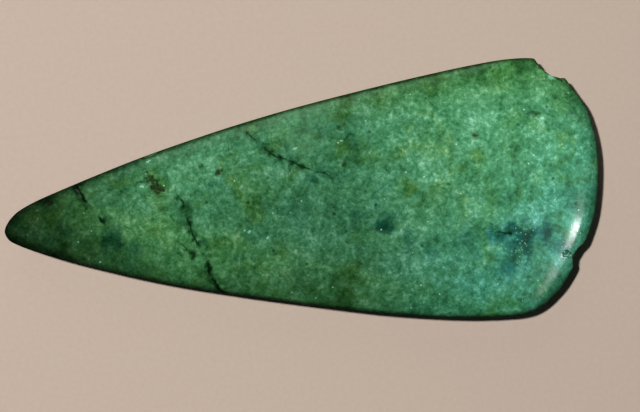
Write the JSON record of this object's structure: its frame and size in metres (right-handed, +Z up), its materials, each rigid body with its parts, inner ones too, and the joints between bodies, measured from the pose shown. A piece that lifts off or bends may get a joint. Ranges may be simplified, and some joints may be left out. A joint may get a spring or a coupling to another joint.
{
  "type": "axe head",
  "caption": "Thin triangular axe head of polished jadeite, with a pointed butt, narrow rounded sides and a broad curved cutting edge with old chips, lying on one face.",
  "frame": {"origin": "middle of the stone's footprint box, on the surface that it lies on", "axes": "+X from the pointed butt to the cutting edge, +Y across the stone to the side whose corner is chipped, +Z up, out of the upper face"},
  "size_m": [0.195, 0.0838, 0.018],
  "materials": {
    "polished_jadeite": "gloss"
  },
  "bodies": {
    "root": {"axe_head": "polished_jadeite"}
  },
  "joints": []
}
